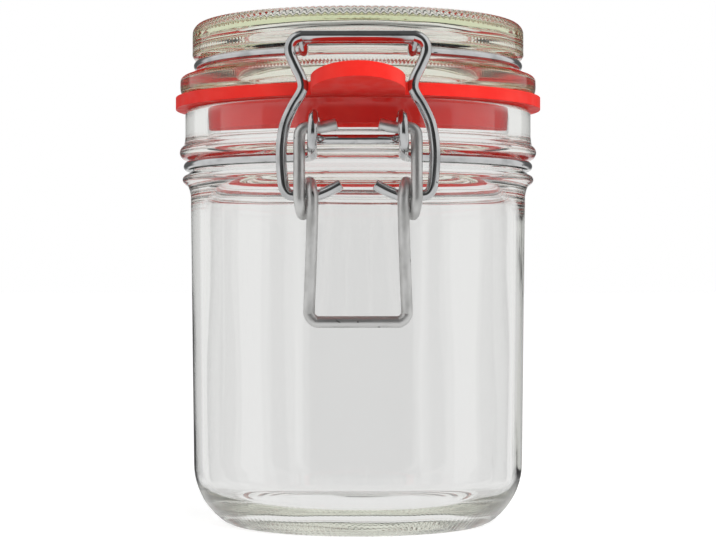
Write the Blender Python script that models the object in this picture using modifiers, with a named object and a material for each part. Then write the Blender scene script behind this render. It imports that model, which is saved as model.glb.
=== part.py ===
"""Clip top jar: an empty glass preserving jar, shut, with a wire clasp and a red rubber ring.

Metres, +Z up. The jar stands on z = 0 and the clasp faces -Y. The origin is
the middle of the whole object's box at its foot. The tab at the front reaches
further out than the hinge at the back, so the jar's axis is a little behind it.
The closure is four bent wires: a ring round the neck with eyes at the front
and the back, a ring round the lid with a raised bar at the front and two hinge
pins at the back, a lever that turns in the front eyes, and a bail that turns in
the lever's coils.
"""
import math

import bmesh
import bpy
from mathutils import Vector

# The jar's axis, behind the middle of the box
AXIS_Y = 0.0034

# The glass jar
RIM_HEIGHT = 0.0896
MOUTH_RADIUS = 0.0334
NECK_RADIUS = 0.0378
BEAD_RADIUS = 0.0390
BEAD_HEIGHT = 0.0805
LOWER_BEAD_RADIUS = 0.0384
LOWER_BEAD_HEIGHT = 0.0746
BODY_RADIUS = 0.0366
BODY_FOOT_RADIUS = 0.0359
BODY_WALL = 0.0027
HEEL_RADIUS = 0.0152
HEEL_HEIGHT = 0.0130
INNER_HEEL_RADIUS = 0.0090
FLOOR_HEIGHT = 0.0055
FOOT_RADIUS = 0.0285
FOOT_INNER_RADIUS = 0.0256
PUSH_UP = 0.0026
RIM_ROUNDING = 0.0009

# The glass lid
LID_TOP = 0.1086
LID_RADIUS = 0.03625
LID_EDGE_ROUNDING = 0.0024
FLANGE_RADIUS = 0.0389
FLANGE_TOP = 0.0971
FLANGE_BOTTOM = 0.09275
PLUG_RADIUS = 0.0320
PLUG_FOOT_RADIUS = 0.0311
PLUG_BOTTOM = 0.0876
HOLLOW_RADIUS = 0.0272
HOLLOW_TOP = 0.1055
HOLLOW_ROUNDING = 0.0040

# The rubber ring, its lip inside the jar's mouth and its tab
RUBBER_BOTTOM = 0.0899
RUBBER_THICKNESS = 0.00255
RUBBER_INNER_RADIUS = 0.0325
LIP_RADIUS = 0.0331
LIP_FOOT_RADIUS = 0.0329
LIP_BOTTOM = 0.0845
RUBBER_RADIUS = 0.0399
TAB_HALF_WIDTH = 0.0094
TAB_SHOULDER = 0.0450
TAB_TIP = 0.0550
TAB_BEND_START = 0.0410
TAB_LIFT = 0.0024
TAB_THICKNESS = 0.0030
TAB_COLUMNS = 12
TAB_ROWS = 5
RUBBER_SEGMENTS = 36
RUBBER_ROUNDING = 0.0003

# The wires
NECK_WIRE = 0.0010
LID_WIRE = 0.00097
LEVER_WIRE = 0.001175
BAIL_WIRE = 0.001125
NECK_RING_RADIUS = 0.03715
NECK_RING_HEIGHT = 0.0775
LID_RING_RADIUS = 0.0350
LID_RING_HEIGHT = 0.0994
GROOVE_CLEARANCE = 0.00035

# The turning points of the clasp, each as (distance in front of the axis, height)
LEVER_PIVOT = (0.0430, 0.0830)
BAIL_PIVOT = (0.0410, 0.0696)
LID_PIVOT = (-0.0445, 0.0880)

# The eyes of the neck ring
EYE_CENTRE = (0.0430, 0.0820)
EYE_RADIUS = 0.00355
EYE_OUTER_X = 0.0091
EYE_INNER_X = 0.0085
CROSSBAR = (0.04035, 0.0808)
HINGE_EYE_CENTRE = (0.0445, 0.0877)
HINGE_EYE_RADIUS = 0.0026

# The lever's coils
COIL_CENTRE = (0.0410, 0.0690)
COIL_RADIUS = 0.0032
COIL_OUTER_X = 0.01165
COIL_INNER_X = 0.0090

STEPS_ROUND = 40
WIRE_STEP_DEGREES = 9.0
WIRE_LEAVES_GROOVE_X = 0.0140
POINTS_PER_SPAN = 2


def clear_scene():
    for thing in list(bpy.data.objects):
        bpy.data.objects.remove(thing, do_unlink=True)


def material(name, colour, roughness, metallic=0.0, transmission=0.0):
    made = bpy.data.materials.new(name)
    made.use_nodes = True
    shader = made.node_tree.nodes["Principled BSDF"]
    shader.inputs["Base Color"].default_value = (*colour, 1.0)
    shader.inputs["Roughness"].default_value = roughness
    shader.inputs["Metallic"].default_value = metallic
    shader.inputs["Transmission Weight"].default_value = transmission
    made.diffuse_color = (*colour, 1.0)
    made.metallic = metallic
    made.roughness = roughness
    return made


def place(name, data, collection, axis):
    """An object in the jar's own collection, placed from the jar's axis."""
    solid = bpy.data.objects.new(name, data)
    solid.parent = axis
    collection.objects.link(solid)
    return solid


def arc(centre, radius, start, end, count):
    """Points of a round stretch, from one angle in degrees to another."""
    points = []
    for i in range(count):
        turn = math.radians(start + (end - start) * i / (count - 1))
        points.append((centre[0] + radius * math.cos(turn), centre[1] + radius * math.sin(turn)))
    return points


def turned(name, profile, collection, axis, finish):
    """A solid of revolution from (radius, height) points that run down its outer side."""
    mesh = bpy.data.meshes.new(name)
    bm = bmesh.new()
    verts = [bm.verts.new((radius, 0.0, height)) for radius, height in profile]
    for a, b in zip(verts, verts[1:]):
        bm.edges.new((a, b))
    bm.to_mesh(mesh)
    bm.free()
    mesh.materials.append(finish)
    solid = place(name, mesh, collection, axis)
    screw = solid.modifiers.new("Turn", "SCREW")
    screw.axis = "Z"
    screw.angle = math.tau
    screw.steps = STEPS_ROUND
    screw.render_steps = STEPS_ROUND
    screw.use_merge_vertices = True
    screw.merge_threshold = 0.00001
    screw.use_smooth_shade = True
    return solid


def smooth_path(points):
    """A smooth curve through the points, which are (x, distance in front, height)."""
    ends = [points[0]] + list(points) + [points[-1]]
    path = []
    for a, b, c, d in zip(ends, ends[1:], ends[2:], ends[3:]):
        a, b, c, d = Vector(a), Vector(b), Vector(c), Vector(d)
        for i in range(POINTS_PER_SPAN):
            t = i / POINTS_PER_SPAN
            path.append(0.5 * (2 * b + (c - a) * t + (2 * a - 5 * b + 4 * c - d) * t * t
                               + (3 * b - a - 3 * c + d) * t ** 3))
    path.append(Vector(points[-1]))
    return path


def mirrored(half):
    """Both halves of a wire, from the mirror image's end through the middle to the half's own end."""
    other = [Vector((-point.x, point.y, point.z)) for point in half if abs(point.x) > 1e-9]
    return other[::-1] + half


def wire(name, path, radius, collection, axis, finish, closed=False):
    """A round wire along a path of (x, distance in front, height)."""
    curve = bpy.data.curves.new(name, "CURVE")
    curve.dimensions = "3D"
    curve.bevel_depth = radius
    curve.bevel_resolution = 2
    curve.use_fill_caps = True
    line = curve.splines.new("POLY")
    line.points.add(len(path) - 1)
    for point, spot in zip(line.points, path):
        point.co = (spot.x, -spot.y, spot.z, 1.0)
    line.use_cyclic_u = closed
    line.use_smooth = True
    curve.materials.append(finish)
    return place(name, curve, collection, axis)


def ring_side(radius, height, start_x, end_x):
    """Half a ring round the axis, from start_x at the front to end_x at the back."""
    start = math.degrees(math.asin(start_x / radius))
    end = 180 - math.degrees(math.asin(end_x / radius))
    count = round((end - start) / WIRE_STEP_DEGREES) + 1
    points = []
    for i in range(count):
        turn = math.radians(start + (end - start) * i / (count - 1))
        points.append(Vector((radius * math.sin(turn), radius * math.cos(turn), height)))
    return points


def groove(ring_radius, ring_height, wire_radius, half_opening):
    """The round bottom of a groove that a wire lies in, from its top to its foot."""
    return arc((ring_radius, ring_height), wire_radius + GROOVE_CLEARANCE,
               half_opening, 360 - half_opening, 5)


def make_jar_glass(collection, axis, finish):
    inner_radius = BODY_RADIUS - BODY_WALL
    inner_heel = (inner_radius - INNER_HEEL_RADIUS, FLOOR_HEIGHT + INNER_HEEL_RADIUS)
    profile = [(0.0, FLOOR_HEIGHT + 0.0007), (0.0160, FLOOR_HEIGHT + 0.0004)]
    profile += arc(inner_heel, INNER_HEEL_RADIUS, -90, 0, 5)
    profile += [(inner_radius, 0.0700), (MOUTH_RADIUS, 0.0745)]
    rim = RIM_HEIGHT - RIM_ROUNDING
    profile += arc((MOUTH_RADIUS + RIM_ROUNDING, rim), RIM_ROUNDING, 180, 90, 3)
    profile += arc((NECK_RADIUS - RIM_ROUNDING, rim), RIM_ROUNDING, 90, 0, 3)
    profile += [(NECK_RADIUS, 0.0838), (NECK_RADIUS + 0.00015, 0.0827)]
    bead = 0.0016
    profile += arc((BEAD_RADIUS - bead, BEAD_HEIGHT), bead, 60, -60, 5)
    profile += groove(NECK_RING_RADIUS, NECK_RING_HEIGHT, NECK_WIRE, 120)
    lower_bead = 0.0010
    profile += arc((LOWER_BEAD_RADIUS - lower_bead, LOWER_BEAD_HEIGHT), lower_bead, 75, -60, 4)
    profile += [(BODY_RADIUS + 0.00035, 0.0727), (BODY_RADIUS, 0.0713)]
    heel = (BODY_FOOT_RADIUS - HEEL_RADIUS, HEEL_HEIGHT)
    profile += arc(heel, HEEL_RADIUS, 0, -55, 5)
    profile += [(FOOT_RADIUS, 0.0), (FOOT_INNER_RADIUS, 0.0), (FOOT_INNER_RADIUS - 0.0010, 0.0007)]
    profile += [(0.0190, PUSH_UP - 0.0007), (0.0, PUSH_UP)]
    return turned("jar_glass", profile, collection, axis, finish)


def make_lid_glass(collection, axis, finish):
    recess = LID_TOP - 0.0008
    profile = [(0.0, recess), (0.0310, recess), (0.0322, LID_TOP)]
    edge = (LID_RADIUS - LID_EDGE_ROUNDING, LID_TOP - LID_EDGE_ROUNDING)
    profile += arc(edge, LID_EDGE_ROUNDING, 90, 0, 3)
    profile += [(LID_RADIUS, 0.1019)]
    profile += groove(LID_RING_RADIUS, LID_RING_HEIGHT, LID_WIRE, 110)
    flange = 0.0013
    profile += [(0.0366, FLANGE_TOP + 0.0005)]
    profile += arc((FLANGE_RADIUS - flange, FLANGE_TOP - flange), flange, 75, 0, 3)
    profile += [(FLANGE_RADIUS, FLANGE_BOTTOM + 0.0011), (FLANGE_RADIUS - 0.0006, FLANGE_BOTTOM + 0.0002)]
    profile += [(FLANGE_RADIUS - 0.0015, FLANGE_BOTTOM), (PLUG_RADIUS + 0.0008, FLANGE_BOTTOM)]
    profile += [(PLUG_RADIUS, FLANGE_BOTTOM - 0.0004), (PLUG_FOOT_RADIUS, PLUG_BOTTOM + 0.0008)]
    profile += [(PLUG_FOOT_RADIUS - 0.0007, PLUG_BOTTOM), (HOLLOW_RADIUS + 0.0012, PLUG_BOTTOM)]
    profile += [(HOLLOW_RADIUS + 0.0003, PLUG_BOTTOM + 0.0012)]
    hollow = (HOLLOW_RADIUS - HOLLOW_ROUNDING, HOLLOW_TOP - HOLLOW_ROUNDING)
    profile += arc(hollow, HOLLOW_ROUNDING, 0, 90, 4)
    profile += [(0.0, HOLLOW_TOP + 0.0003)]
    return turned("lid_glass", profile, collection, axis, finish)


def tab_place(x, row):
    """Distance in front of the axis of a point of the tab, row 0 on the ring's edge."""
    root = math.sqrt(RUBBER_RADIUS ** 2 - x ** 2)
    tip = TAB_SHOULDER + (TAB_TIP - TAB_SHOULDER) * math.sqrt(max(0.0, 1 - (x / TAB_HALF_WIDTH) ** 2))
    return root + (tip - root) * row / TAB_ROWS


def along_tab(front):
    """How far along its bend a point of the tab lies, from 0 to 1."""
    return max(0.0, (front - TAB_BEND_START) / (TAB_TIP - TAB_BEND_START))


def make_rubber_ring(collection, axis, finish):
    """A flat ring, with a lip drawn down inside it and a tongue drawn out of its front and bent up."""
    segments = RUBBER_SEGMENTS + TAB_COLUMNS
    half_tab = math.asin(TAB_HALF_WIDTH / RUBBER_RADIUS)
    bm = bmesh.new()
    outer = bmesh.ops.create_circle(bm, segments=segments, radius=RUBBER_RADIUS)["verts"]
    turns = []
    for column in range(TAB_COLUMNS + 1):
        across = math.sin(math.pi * (column / TAB_COLUMNS - 0.5))
        turns.append(math.asin(TAB_HALF_WIDTH * across / RUBBER_RADIUS))
    for step in range(1, RUBBER_SEGMENTS):
        turns.append(half_tab + (math.tau - 2 * half_tab) * step / RUBBER_SEGMENTS)
    for vert, turn in zip(outer, turns):
        vert.co = (RUBBER_RADIUS * math.sin(turn), -RUBBER_RADIUS * math.cos(turn), 0.0)
    bm.verts.ensure_lookup_table()
    rim_edges = list(bm.edges)
    tab_edges = [edge for edge in rim_edges
                 if all(abs(v.co.x) < TAB_HALF_WIDTH + 1e-6 and v.co.y < 0 for v in edge.verts)]
    for radius in (LIP_RADIUS, LIP_FOOT_RADIUS, RUBBER_INNER_RADIUS):
        inward = bmesh.ops.extrude_edge_only(bm, edges=rim_edges)["geom"]
        for vert in inward:
            if isinstance(vert, bmesh.types.BMVert):
                vert.co *= radius / vert.co.length
        rim_edges = [edge for edge in inward if isinstance(edge, bmesh.types.BMEdge)]
    for row in range(1, TAB_ROWS + 1):
        outward = bmesh.ops.extrude_edge_only(bm, edges=tab_edges)["geom"]
        for vert in outward:
            if isinstance(vert, bmesh.types.BMVert):
                vert.co.y = -tab_place(vert.co.x, row)
        tab_edges = [edge for edge in outward if isinstance(edge, bmesh.types.BMEdge)]
    bmesh.ops.recalc_face_normals(bm, faces=bm.faces)
    lower = list(bm.verts)
    top = bmesh.ops.extrude_face_region(bm, geom=bm.faces[:])["geom"]
    upper = [vert for vert in top if isinstance(vert, bmesh.types.BMVert)]
    middle = RUBBER_BOTTOM + RUBBER_THICKNESS / 2
    for verts, side in ((lower, -0.5), (upper, 0.5)):
        for vert in verts:
            bend = along_tab(-vert.co.y)
            thickness = RUBBER_THICKNESS + (TAB_THICKNESS - RUBBER_THICKNESS) * bend
            vert.co.z = middle + TAB_LIFT * bend ** 1.5 + side * thickness
    for vert in lower:
        if math.hypot(vert.co.x, vert.co.y) < LIP_RADIUS - 0.0001:
            vert.co.z = LIP_BOTTOM
    bmesh.ops.recalc_face_normals(bm, faces=bm.faces)
    mesh = bpy.data.meshes.new("rubber_ring")
    bm.to_mesh(mesh)
    bm.free()
    mesh.materials.append(finish)
    solid = place("rubber_ring", mesh, collection, axis)
    bevel = solid.modifiers.new("Rounded edges", "BEVEL")
    bevel.width = RUBBER_ROUNDING
    bevel.segments = 1
    bevel.limit_method = "ANGLE"
    bevel.angle_limit = math.radians(50)
    return solid


def eye_path(centre, radius, low_outer, high_inner):
    """One eye of the neck ring, from the groove up its outer side, over and down to the crossbar."""
    out_of_groove = [(0.0116, 0.0356, NECK_RING_HEIGHT), (0.0104, 0.0370, NECK_RING_HEIGHT),
                     (0.0096, 0.0388, NECK_RING_HEIGHT), (EYE_OUTER_X, 0.0412, NECK_RING_HEIGHT + 0.0002)]
    over = []
    for i, (front, height) in enumerate(arc(centre, radius, *low_outer[0])):
        share = i / (low_outer[0][2] - 1)
        over.append((EYE_OUTER_X + (EYE_INNER_X - EYE_OUTER_X) * share, front, height))
    to_crossbar = [(0.0079, CROSSBAR[0] - 0.0005, CROSSBAR[1] + 0.0002),
                   (0.0068, CROSSBAR[0] - 0.0001, CROSSBAR[1]), (0.0054, *CROSSBAR), (0.0, *CROSSBAR)]
    return smooth_path(out_of_groove + low_outer[1] + over + high_inner + to_crossbar)


def make_neck_ring(collection, axis, finish):
    """One closed wire: round the neck, with two eyes and a crossbar at the front and at the back."""
    front = eye_path(EYE_CENTRE, EYE_RADIUS, ((-60, 180, 7), [(EYE_OUTER_X, 0.0431, 0.0783)]), [])
    rise = [(EYE_OUTER_X, 0.0445, 0.0785), (EYE_OUTER_X, 0.0466, 0.0805), (EYE_OUTER_X, 0.0471, 0.0840)]
    fall = [(EYE_INNER_X, 0.0419, 0.0845), (EYE_INNER_X, 0.0412, 0.0820)]
    back = eye_path(HINGE_EYE_CENTRE, HINGE_EYE_RADIUS, ((0, 180, 5), rise), fall)
    back = [Vector((point.x, -point.y, point.z)) for point in back]
    side = ring_side(NECK_RING_RADIUS, NECK_RING_HEIGHT, WIRE_LEAVES_GROOVE_X, WIRE_LEAVES_GROOVE_X)
    half = front[::-1] + side + back
    left = [Vector((-point.x, point.y, point.z)) for point in half[1:-1]]
    return wire("neck_ring", half + left[::-1], NECK_WIRE, collection, axis, finish, closed=True)


def make_lid_ring(collection, axis, finish):
    """One open wire: raised bar at the front, round the lid's groove, hinge pins at the back."""
    bar = (0.0406, 0.1009)
    staple = [(0.0, *bar), (0.0045, *bar), (0.0090, *bar), (0.0102, 0.04045, 0.10075),
              (0.01085, 0.0399, 0.1002), (0.0109, 0.0390, 0.0993), (0.0109, 0.0378, 0.09875),
              (0.0109, 0.0362, 0.0988), (0.0112, 0.0344, 0.0992), (0.0124, 0.0329, LID_RING_HEIGHT)]
    side = ring_side(LID_RING_RADIUS, LID_RING_HEIGHT, WIRE_LEAVES_GROOVE_X, WIRE_LEAVES_GROOVE_X)
    hinge_front, hinge_height = LID_PIVOT
    leg_x = 0.0115
    leg = [(0.0122, -0.0334, 0.0995), (leg_x, -0.0350, 0.09975), (leg_x, -0.0370, 0.0997),
           (leg_x, -0.0395, 0.0988), (leg_x, -0.0418, 0.0967), (leg_x, -0.0435, 0.0936),
           (leg_x, hinge_front + 0.0001, 0.0902), (leg_x - 0.00015, hinge_front, 0.0890),
           (leg_x - 0.00065, hinge_front, hinge_height + 0.0003), (0.0100, hinge_front, hinge_height),
           (0.0068, hinge_front, hinge_height)]
    half = smooth_path(staple) + side + smooth_path(leg)
    return wire("lid_ring", mirrored(half), LID_WIRE, collection, axis, finish)


def make_lever(collection, axis, finish):
    """One wire: pins in the neck ring's eyes, two legs, a coil each side and the handle."""
    pin_front, pin_height = LEVER_PIVOT
    pin = [(0.0042, pin_front, pin_height + 0.0007), (0.0074, pin_front, pin_height),
           (0.0100, pin_front, pin_height), (0.01115, pin_front + 0.0001, pin_height - 0.0005),
           (COIL_OUTER_X, pin_front + 0.0002, pin_height - 0.0018), (COIL_OUTER_X, 0.0436, 0.0765),
           (COIL_OUTER_X, 0.0441, 0.0720)]
    coil = []
    stations = 14
    for i in range(stations + 1):
        share = i / stations
        turn = -math.tau * share
        coil.append(Vector((COIL_OUTER_X + (COIL_INNER_X - COIL_OUTER_X) * share,
                            COIL_CENTRE[0] + COIL_RADIUS * math.cos(turn),
                            COIL_CENTRE[1] + COIL_RADIUS * math.sin(turn))))
    corner, bar_height, bar_front = 0.0020, 0.0443, 0.0390
    handle_x = 0.0098
    handle = [(COIL_INNER_X, 0.0441, 0.0665), (0.00915, 0.0432, 0.0620), (0.00945, 0.0413, 0.0545),
              (0.0097, 0.0397, 0.0490)]
    for across, height in arc((handle_x - corner, bar_height + corner), corner, 0, -90, 4):
        handle.append((across, bar_front + 0.05 * (height - bar_height), height))
    handle.append((0.0, bar_front, bar_height))
    half = smooth_path(pin) + coil + smooth_path(handle)
    return wire("lever", mirrored(half[::-1]), LEVER_WIRE, collection, axis, finish)


def make_bail(collection, axis, finish):
    """One wire in a keyhole shape, its ends turned in through the lever's coils."""
    pin_front, pin_height = BAIL_PIVOT
    top_front, top_height = 0.0432, 0.1012
    lean = (top_front - pin_front) / (top_height - pin_height)
    outline = [(0.0034, 0.0718), (0.0054, 0.0707), (0.0073, 0.06985), (0.0084, pin_height),
               (0.0106, pin_height), (0.0127, pin_height), (0.0138, 0.0698), (0.0146, 0.0707),
               (0.0150, 0.0724), (0.0153, 0.0765), (0.0152, 0.0800), (0.0145, 0.0838),
               (0.0130, 0.0872), (0.0114, 0.0898), (0.01095, 0.0913), (0.0113, 0.0929),
               (0.0124, 0.0952), (0.0134, 0.0976), (0.0135, 0.0991), (0.0128, 0.1004),
               (0.0115, 0.1011), (0.0100, top_height), (0.0, top_height)]
    half = smooth_path([(across, pin_front + lean * (height - pin_height), height)
                        for across, height in outline])
    return wire("bail", mirrored(half[::-1]), BAIL_WIRE, collection, axis, finish)


def main():
    clear_scene()
    jar = bpy.data.collections.new("clip_top_jar")
    bpy.context.scene.collection.children.link(jar)
    axis = bpy.data.objects.new("jar_axis", None)
    axis.location = (0.0, AXIS_Y, 0.0)
    jar.objects.link(axis)
    glass = material("clear glass", (0.86, 0.90, 0.86), 0.05, transmission=1.0)
    rubber = material("red rubber", (0.85, 0.05, 0.04), 0.5)
    steel = material("bright zinc plated wire", (0.70, 0.71, 0.72), 0.25, metallic=1.0)
    make_jar_glass(jar, axis, glass)
    make_lid_glass(jar, axis, glass)
    make_rubber_ring(jar, axis, rubber)
    make_neck_ring(jar, axis, steel)
    make_lid_ring(jar, axis, steel)
    make_lever(jar, axis, steel)
    make_bail(jar, axis, steel)


main()
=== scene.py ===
# %% [markdown]
# # A clip top jar in clear glass, red rubber and bright wire
#
# The real jar is thick pressed glass with a glass lid. A flat rubber ring seals the two, and four bent
# wires pull them together. Glass has no colour of its own to paint: what we see is its shape, bending
# the white backdrop and mirroring the room. So the finishes are made first and stay simple, the shapes
# get the most care, and then a studio gives the glass something to mirror.

# %% Load the frame
import math

import bmesh
import bpy
from mathutils import Matrix, Vector, noise


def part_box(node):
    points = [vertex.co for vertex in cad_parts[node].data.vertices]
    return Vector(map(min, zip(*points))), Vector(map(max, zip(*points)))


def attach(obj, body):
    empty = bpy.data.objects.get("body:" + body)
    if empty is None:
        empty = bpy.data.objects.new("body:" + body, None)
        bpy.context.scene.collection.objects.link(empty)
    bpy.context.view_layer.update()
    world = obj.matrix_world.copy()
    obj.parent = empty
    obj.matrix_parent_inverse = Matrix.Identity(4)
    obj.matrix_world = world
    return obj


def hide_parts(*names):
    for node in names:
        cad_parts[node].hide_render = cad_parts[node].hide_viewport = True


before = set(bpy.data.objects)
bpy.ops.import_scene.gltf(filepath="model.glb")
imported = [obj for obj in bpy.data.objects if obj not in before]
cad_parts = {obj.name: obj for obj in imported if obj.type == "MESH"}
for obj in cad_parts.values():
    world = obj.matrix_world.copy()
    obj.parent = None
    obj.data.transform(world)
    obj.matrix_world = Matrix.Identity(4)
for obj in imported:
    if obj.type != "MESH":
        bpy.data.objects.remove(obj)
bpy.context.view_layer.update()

# %% [markdown]
# ## Where the jar stands
#
# The jar stands on z = 0 with its clasp towards -Y. Its axis is a little behind the middle of the whole
# object, because the rubber's tab reaches further out than the hinge. The sizes that several pieces
# share are read from the frame's boxes, so the new pieces land exactly on the solids they stand for.

# %% Read the axis and the shared sizes
glass_low, glass_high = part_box("jar_glass")
lid_low, lid_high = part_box("lid_glass")
rubber_low, rubber_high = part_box("rubber_ring")
AXIS_Y = (glass_low.y + glass_high.y) / 2
RIM_HEIGHT = glass_high.z
BEAD_RADIUS = (glass_high.x - glass_low.x) / 2
LID_TOP = lid_high.z
FLANGE_RADIUS = (lid_high.x - lid_low.x) / 2
PLUG_BOTTOM = lid_low.z
LIP_BOTTOM = rubber_low.z
RUBBER_RADIUS = (rubber_high.x - rubber_low.x) / 2
print("axis at y", round(AXIS_Y, 5), "rim", round(RIM_HEIGHT, 4), "lid top", round(LID_TOP, 4))

# %% [markdown]
# ## Small helpers for node trees
#
# A finish is a small tree of nodes. Writing it with one helper that makes a node, sets it and joins its
# inputs keeps each finish short enough to read as a recipe.

# %% Helpers for nodes
def add_node(tree, kind, inputs=None, **settings):
    """A new node with its settings. An input is a plain value, or a socket that it is joined to."""
    made = tree.nodes.new(kind)
    for name, value in settings.items():
        setattr(made, name, value)
    for socket, value in (inputs or {}).items():
        if isinstance(value, bpy.types.NodeSocket):
            tree.links.new(value, made.inputs[socket])
        else:
            made.inputs[socket].default_value = value
    return made


def calculate(tree, operation, first, second=0.0):
    return add_node(tree, "ShaderNodeMath", {0: first, 1: second}, operation=operation).outputs[0]


def ramp_between(tree, value, low, high, to_low=0.0, to_high=1.0):
    """Fades from to_low to to_high while the value goes from low to high."""
    made = add_node(tree, "ShaderNodeMapRange", {0: value, 1: low, 2: high, 3: to_low, 4: to_high})
    made.interpolation_type = "SMOOTHSTEP"
    return made.outputs[0]


def speckle(tree, where, scale, detail=2.0, stretch=(1.0, 1.0, 1.0)):
    """A soft random pattern, from 0 to 1, that can be stretched along an axis."""
    moved = add_node(tree, "ShaderNodeMapping", {"Vector": where, "Scale": stretch})
    return add_node(tree, "ShaderNodeTexNoise", {"Vector": moved.outputs[0], "Scale": scale,
                                                 "Detail": detail}).outputs[0]


def new_finish(name):
    made = bpy.data.materials.new(name)
    made.use_nodes = True
    shader = made.node_tree.nodes["Principled BSDF"]
    return made, made.node_tree, shader


# %% [markdown]
# ## Finish: clear soda glass
#
# Bottle glass has traces of iron, which swallow red and blue light a little faster than green. Through
# a thin wall that can't be seen, but where we look along the glass, as in the lid's rim, it goes olive
# green. So the surface stays white and clear, and the tint is a volume absorption, which grows with
# the length of glass that the light has crossed. The lid looks greener than the jar, so it takes the
# same recipe with a denser tint. The pressing leaves the surface faintly uneven.

# %% Make the clear glass
GLASS_IOR = 1.52
GLASS_HAZE = 0.05
GLASS_RIPPLE = 0.00006
GLASS_TINT = (0.75, 0.82, 0.40, 1.0)
JAR_TINT_DENSITY, LID_TINT_DENSITY = 5.0, 14.0


def make_glass_finish(name, tint_density):
    made, tree, shader = new_finish(name)
    where = add_node(tree, "ShaderNodeTexCoord").outputs["Object"]
    shader.inputs["Base Color"].default_value = (1.0, 1.0, 1.0, 1.0)
    shader.inputs["Transmission Weight"].default_value = 1.0
    shader.inputs["IOR"].default_value = GLASS_IOR
    haze = ramp_between(tree, speckle(tree, where, 90.0, 4.0), 0.52, 0.78, 0.0, GLASS_HAZE)
    tree.links.new(haze, shader.inputs["Roughness"])
    ripple = speckle(tree, where, 220.0, 1.0, (1.0, 1.0, 0.4))
    bump = add_node(tree, "ShaderNodeBump", {"Strength": 0.25, "Distance": GLASS_RIPPLE,
                                             "Height": ripple})
    tree.links.new(bump.outputs[0], shader.inputs["Normal"])
    tint = add_node(tree, "ShaderNodeVolumeAbsorption", {"Color": GLASS_TINT,
                                                         "Density": tint_density})
    tree.links.new(tint.outputs[0], tree.nodes["Material Output"].inputs["Volume"])
    return made


jar_glass_finish = make_glass_finish("clear jar glass", JAR_TINT_DENSITY)
lid_glass_finish = make_glass_finish("greener lid glass", LID_TINT_DENSITY)
print("made", jar_glass_finish.name, "and", lid_glass_finish.name)

# %% [markdown]
# ## Finish: red rubber
#
# The ring is pressed natural rubber: a strong even red with a soft sheen, a fine grain, and a faint
# paler bloom in clouds. The grain is a bump of a few hundredths of a millimetre.

# %% Make the red rubber
RUBBER_RED = (0.96, 0.028, 0.020, 1.0)
RUBBER_BLOOM = (1.0, 0.050, 0.036, 1.0)
RUBBER_ROUGHNESS = (0.42, 0.60)
RUBBER_SHINE = 0.15
RUBBER_GRAIN = 0.00003


def make_rubber_finish():
    made, tree, shader = new_finish("red rubber")
    where = add_node(tree, "ShaderNodeTexCoord").outputs["Object"]
    bloom = ramp_between(tree, speckle(tree, where, 140.0, 5.0), 0.35, 0.75)
    colour = add_node(tree, "ShaderNodeMix", {0: bloom, 6: RUBBER_RED, 7: RUBBER_BLOOM},
                      data_type="RGBA")
    tree.links.new(colour.outputs[2], shader.inputs["Base Color"])
    sheen = ramp_between(tree, speckle(tree, where, 320.0, 3.0), 0.3, 0.7, *RUBBER_ROUGHNESS)
    tree.links.new(sheen, shader.inputs["Roughness"])
    shader.inputs["Specular IOR Level"].default_value = RUBBER_SHINE
    grain = speckle(tree, where, 3200.0, 3.0)
    bump = add_node(tree, "ShaderNodeBump", {"Strength": 0.35, "Distance": RUBBER_GRAIN,
                                             "Height": grain})
    tree.links.new(bump.outputs[0], shader.inputs["Normal"])
    return made


rubber_finish = make_rubber_finish()
print("made", rubber_finish.name)

# %% [markdown]
# ## Finish: bright drawn wire
#
# Steel wire is pulled through a die and zinc plated. The die leaves fine lines that run along the wire,
# round every bend, so a pattern fixed in space would look wrong. Each wire's mesh therefore carries an
# attribute, "unbent": where that point of the surface lay before the wire was bent, with the wire's
# length along z. Noise that is stretched along that z makes the lines, and small dark nicks sit on it.
# The lever looks duller than the other wires, so it takes the same recipe, rougher and paler.

# %% Make the wire's finish
WIRE_LIGHT = (0.62, 0.625, 0.63, 1.0)
WIRE_GREY = (0.42, 0.425, 0.43, 1.0)
LEVER_LIGHT = (0.68, 0.68, 0.67, 1.0)
LEVER_GREY = (0.54, 0.54, 0.53, 1.0)
WIRE_NICK = (0.12, 0.12, 0.12, 1.0)
WIRE_ROUGHNESS, LEVER_ROUGHNESS = (0.08, 0.20), (0.40, 0.55)
NICKS_START, NICKS_FULL = 0.735, 0.80
WIRE_RELIEF = 0.00004


def make_wire_finish(name, light, grey, roughness):
    """Drawn, plated wire, clouded between two greys and between a smooth and a dull roughness."""
    made, tree, shader = new_finish(name)
    unbent = add_node(tree, "ShaderNodeAttribute", attribute_name="unbent").outputs["Vector"]
    lines = speckle(tree, unbent, 2600.0, 3.0, (1.0, 1.0, 0.03))
    clouds = speckle(tree, unbent, 420.0, 4.0, (1.0, 1.0, 0.45))
    nicks = ramp_between(tree, speckle(tree, unbent, 900.0, 1.0, (1.0, 1.0, 0.7)),
                         NICKS_START, NICKS_FULL)
    plating = add_node(tree, "ShaderNodeMix", {0: ramp_between(tree, clouds, 0.40, 0.72),
                                               6: light, 7: grey}, data_type="RGBA")
    colour = add_node(tree, "ShaderNodeMix", {0: nicks, 6: plating.outputs[2], 7: WIRE_NICK},
                      data_type="RGBA")
    tree.links.new(colour.outputs[2], shader.inputs["Base Color"])
    shader.inputs["Metallic"].default_value = 1.0
    tree.links.new(ramp_between(tree, clouds, 0.3, 0.75, *roughness), shader.inputs["Roughness"])
    relief = calculate(tree, "SUBTRACT", lines, calculate(tree, "MULTIPLY", nicks, 2.0))
    bump = add_node(tree, "ShaderNodeBump", {"Strength": 0.30, "Distance": WIRE_RELIEF,
                                             "Height": relief})
    tree.links.new(bump.outputs[0], shader.inputs["Normal"])
    return made


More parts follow.
